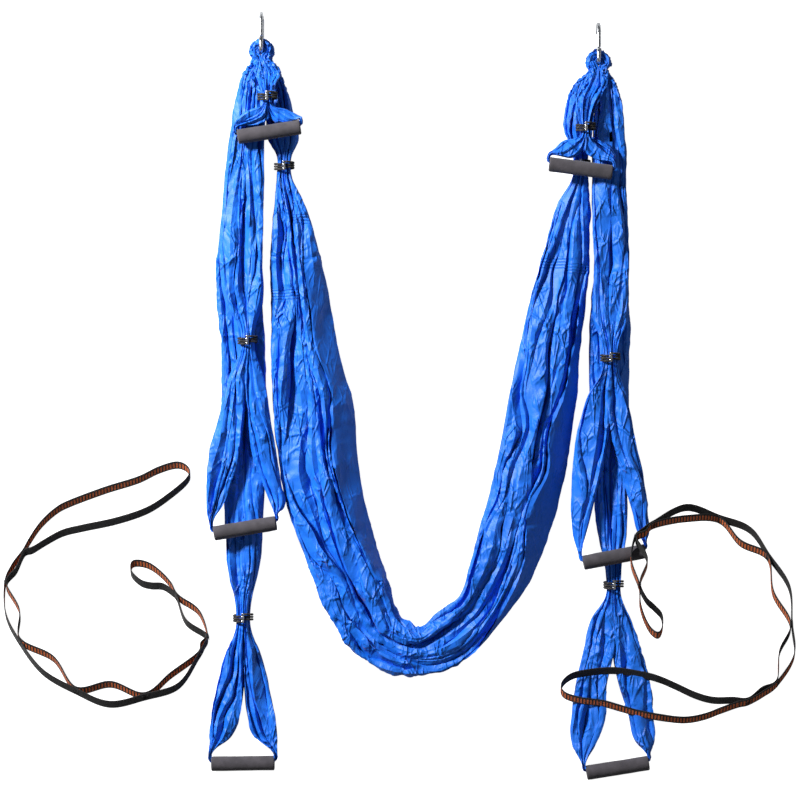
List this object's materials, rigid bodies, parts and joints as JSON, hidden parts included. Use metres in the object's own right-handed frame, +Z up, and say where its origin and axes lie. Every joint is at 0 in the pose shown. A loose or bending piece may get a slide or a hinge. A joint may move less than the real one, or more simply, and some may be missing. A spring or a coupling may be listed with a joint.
{
  "type": "aerial hammock",
  "caption": "Aerial hammock laid flat: a gathered cloth swing between two carabiners, with foam-grip handle straps on each side and looped webbing daisy chains.",
  "frame": {"origin": "centre of the bounding box's bottom face, on the surface that the set lies on", "axes": "+Z up from the surface towards the viewer, +Y from the swing's seat towards the carabiners, +X towards the right-hand straps"},
  "size_m": [1.5819, 1.5318, 0.0751],
  "materials": {
    "cloth": "crinkled nylon taffeta, slight sheen",
    "foam": "matt closed-cell foam",
    "tube": "extruded",
    "elastic": "braided cover with a grey tracer",
    "steel": "zinc plated",
    "webbing": "ribbed, black with orange bars on one face"
  },
  "bodies": {
    "swing": {"swing_cloth": "cloth"},
    "left_carabiner": {"left_carabiner_frame": "steel", "left_pivot_pin": "steel"},
    "left_gate": {"left_gate": "steel", "left_gate_spring": "steel"},
    "left_swing_tie": {"left_swing_tie": "elastic", "left_swing_crimp": "steel"},
    "left_daisy_chain": {"left_daisy_chain": "webbing"},
    "right_carabiner": {"right_carabiner_frame": "steel", "right_pivot_pin": "steel"},
    "right_gate": {"right_gate": "steel", "right_gate_spring": "steel"},
    "right_swing_tie": {"right_swing_tie": "elastic", "right_swing_crimp": "steel"},
    "right_daisy_chain": {"right_daisy_chain": "webbing"},
    "left_long_strap": {"left_long_strap": "cloth"},
    "left_long_grip": {"left_long_foam_grip": "foam", "left_long_grip_tube": "tube"},
    "left_long_tie": {"left_long_tie": "elastic", "left_long_crimp": "steel"},
    "left_medium_strap": {"left_medium_strap": "cloth"},
    "left_medium_grip": {"left_medium_foam_grip": "foam", "left_medium_grip_tube": "tube"},
    "left_medium_tie": {"left_medium_tie": "elastic", "left_medium_crimp": "steel"},
    "left_short_strap": {"left_short_strap": "cloth"},
    "left_short_grip": {"left_short_foam_grip": "foam", "left_short_grip_tube": "tube"},
    "left_short_tie": {"left_short_tie": "elastic", "left_short_crimp": "steel"},
    "right_long_strap": {"right_long_strap": "cloth"},
    "right_long_grip": {"right_long_foam_grip": "foam", "right_long_grip_tube": "tube"},
    "right_long_tie": {"right_long_tie": "elastic", "right_long_crimp": "steel"},
    "right_medium_strap": {"right_medium_strap": "cloth"},
    "right_medium_grip": {"right_medium_foam_grip": "foam", "right_medium_grip_tube": "tube"},
    "right_medium_tie": {"right_medium_tie": "elastic", "right_medium_crimp": "steel"},
    "right_short_strap": {"right_short_strap": "cloth"},
    "right_short_grip": {"right_short_foam_grip": "foam", "right_short_grip_tube": "tube"},
    "right_short_tie": {"right_short_tie": "elastic", "right_short_crimp": "steel"}
  },
  "joints": [
    {"name": "left_carabiner_swivel", "type": "hinge", "parent": "swing", "child": "left_carabiner", "pos_m": [-0.27496, 0.68623, 0.023], "axis": [0, 0, 1], "range_deg": [-35, 35]},
    {"name": "left_gate_open", "type": "hinge", "parent": "left_carabiner", "child": "left_gate", "pos_m": [-0.27496, 0.71023, 0.04175], "axis": [-1, 0, 0], "range_deg": [0, 24], "stiffness_Nm_per_rad": 0.1, "springref_deg": -17.19},
    {"name": "left_swing_tie_slide", "type": "slide", "parent": "swing", "child": "left_swing_tie", "axis": [0, 1, 0], "range_m": [-0.01, 0.01]},
    {"name": "right_carabiner_swivel", "type": "hinge", "parent": "swing", "child": "right_carabiner", "pos_m": [0.39604, 0.66423, 0.023], "axis": [0, 0, 1], "range_deg": [-35, 35]},
    {"name": "right_gate_open", "type": "hinge", "parent": "right_carabiner", "child": "right_gate", "pos_m": [0.39604, 0.68823, 0.04175], "axis": [-1, 0, 0], "range_deg": [0, 24], "stiffness_Nm_per_rad": 0.1, "springref_deg": -17.19},
    {"name": "right_swing_tie_slide", "type": "slide", "parent": "swing", "child": "right_swing_tie", "axis": [0, 1, 0], "range_m": [-0.01, 0.01]},
    {"name": "left_long_swing", "type": "hinge", "parent": "swing", "child": "left_long_strap", "pos_m": [-0.27496, 0.68623, 0.011], "axis": [0, 0, -1], "range_deg": [0, 2]},
    {"name": "left_long_grip_spin", "type": "hinge", "parent": "left_long_strap", "child": "left_long_grip", "pos_m": [-0.31246, -0.73277, 0.0145], "axis": [0.9999, 0.0157, 0], "continuous": true},
    {"name": "left_long_tie_slide", "type": "slide", "parent": "left_long_strap", "child": "left_long_tie", "axis": [0, 1, 0], "range_m": [-0.01, 0.01]},
    {"name": "left_medium_swing", "type": "hinge", "parent": "left_long_strap", "child": "left_medium_strap", "pos_m": [-0.27496, 0.68623, 0.0333], "axis": [0, 0, -1], "range_deg": [0, 15]},
    {"name": "left_medium_grip_spin", "type": "hinge", "parent": "left_medium_strap", "child": "left_medium_grip", "pos_m": [-0.30696, -0.26277, 0.0368], "axis": [0.9863, 0.165, 0], "continuous": true},
    {"name": "left_medium_tie_slide", "type": "slide", "parent": "left_medium_strap", "child": "left_medium_tie", "axis": [0, 1, 0], "range_m": [-0.01, 0.01]},
    {"name": "left_short_swing", "type": "hinge", "parent": "left_medium_strap", "child": "left_short_strap", "pos_m": [-0.27496, 0.68623, 0.0531], "axis": [0, 0, -1], "range_deg": [-15, 15]},
    {"name": "left_short_grip_spin", "type": "hinge", "parent": "left_short_strap", "child": "left_short_grip", "pos_m": [-0.25846, 0.52323, 0.0566], "axis": [0.988, 0.1547, 0], "continuous": true},
    {"name": "left_short_tie_slide", "type": "slide", "parent": "left_short_strap", "child": "left_short_tie", "axis": [0, 1, 0], "range_m": [-0.01, 0.01]},
    {"name": "right_long_swing", "type": "hinge", "parent": "swing", "child": "right_long_strap", "pos_m": [0.39604, 0.66423, 0.011], "axis": [0, 0, 1], "range_deg": [0, 12]},
    {"name": "right_long_grip_spin", "type": "hinge", "parent": "right_long_strap", "child": "right_long_grip", "pos_m": [0.43504, -0.74177, 0.0145], "axis": [0.9871, 0.1599, 0], "continuous": true},
    {"name": "right_long_tie_slide", "type": "slide", "parent": "right_long_strap", "child": "right_long_tie", "axis": [0, 1, 0], "range_m": [-0.01, 0.01]},
    {"name": "right_medium_swing", "type": "hinge", "parent": "right_long_strap", "child": "right_medium_strap", "pos_m": [0.39604, 0.66423, 0.0333], "axis": [0, 0, 1], "range_deg": [0, 12]},
    {"name": "right_medium_grip_spin", "type": "hinge", "parent": "right_medium_strap", "child": "right_medium_grip", "pos_m": [0.42704, -0.31977, 0.0368], "axis": [0.9823, 0.1874, 0], "continuous": true},
    {"name": "right_medium_tie_slide", "type": "slide", "parent": "right_medium_strap", "child": "right_medium_tie", "axis": [0, 1, 0], "range_m": [-0.01, 0.01]},
    {"name": "right_short_swing", "type": "hinge", "parent": "right_medium_strap", "child": "right_short_strap", "pos_m": [0.39604, 0.66423, 0.0531], "axis": [0, 0, 1], "range_deg": [-15, 15]},
    {"name": "right_short_grip_spin", "type": "hinge", "parent": "right_short_strap", "child": "right_short_grip", "pos_m": [0.35904, 0.45123, 0.0566], "axis": [0.9912, -0.1323, 0], "continuous": true},
    {"name": "right_short_tie_slide", "type": "slide", "parent": "right_short_strap", "child": "right_short_tie", "axis": [0, 1, 0], "range_m": [-0.01, 0.01]},
    {"name": "left_daisy_chain_lift", "type": "slide", "parent": "swing", "child": "left_daisy_chain", "axis": [0, 0, 1], "range_m": [0, 0.25]},
    {"name": "right_daisy_chain_lift", "type": "slide", "parent": "right_medium_strap", "child": "right_daisy_chain", "axis": [0, 0, 1], "range_m": [0, 0.25]}
  ]
}
